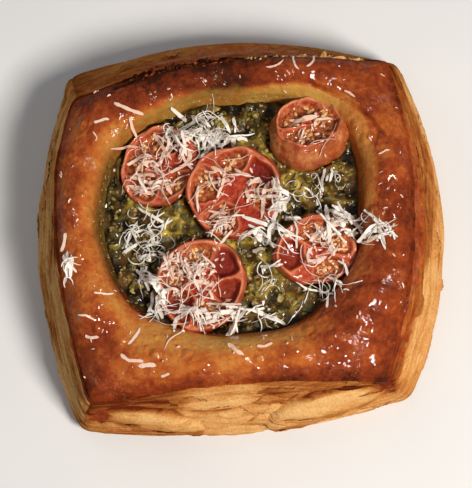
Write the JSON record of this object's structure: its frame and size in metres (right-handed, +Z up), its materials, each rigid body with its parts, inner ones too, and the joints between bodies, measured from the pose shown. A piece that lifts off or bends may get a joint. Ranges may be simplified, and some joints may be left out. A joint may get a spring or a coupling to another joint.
{
  "type": "danish pastry",
  "caption": "Square laminated savoury pastry with a glazed rim round a filled recess topped with roasted tomato halves and grated cheese.",
  "frame": {"origin": "middle of the flat underside of the pastry, at the height of what it lies on", "axes": "+Z up, +X to the pastry's right and -Y to its front, the side that faces the viewer of the picture"},
  "size_m": [0.1164, 0.1138, 0.0366],
  "materials": {
    "dough_shell": "glazed and baked",
    "pesto_filling": "oily and lumpy",
    "tomato": "moist"
  },
  "bodies": {
    "root": {"dough_shell": "dough_shell", "pesto_filling": "pesto_filling", "tomato_half_middle": "tomato", "tomato_half_back_right": "tomato", "tomato_half_front_left": "tomato", "tomato_half_right": "tomato", "tomato_half_back_left": "tomato"}
  },
  "joints": []
}
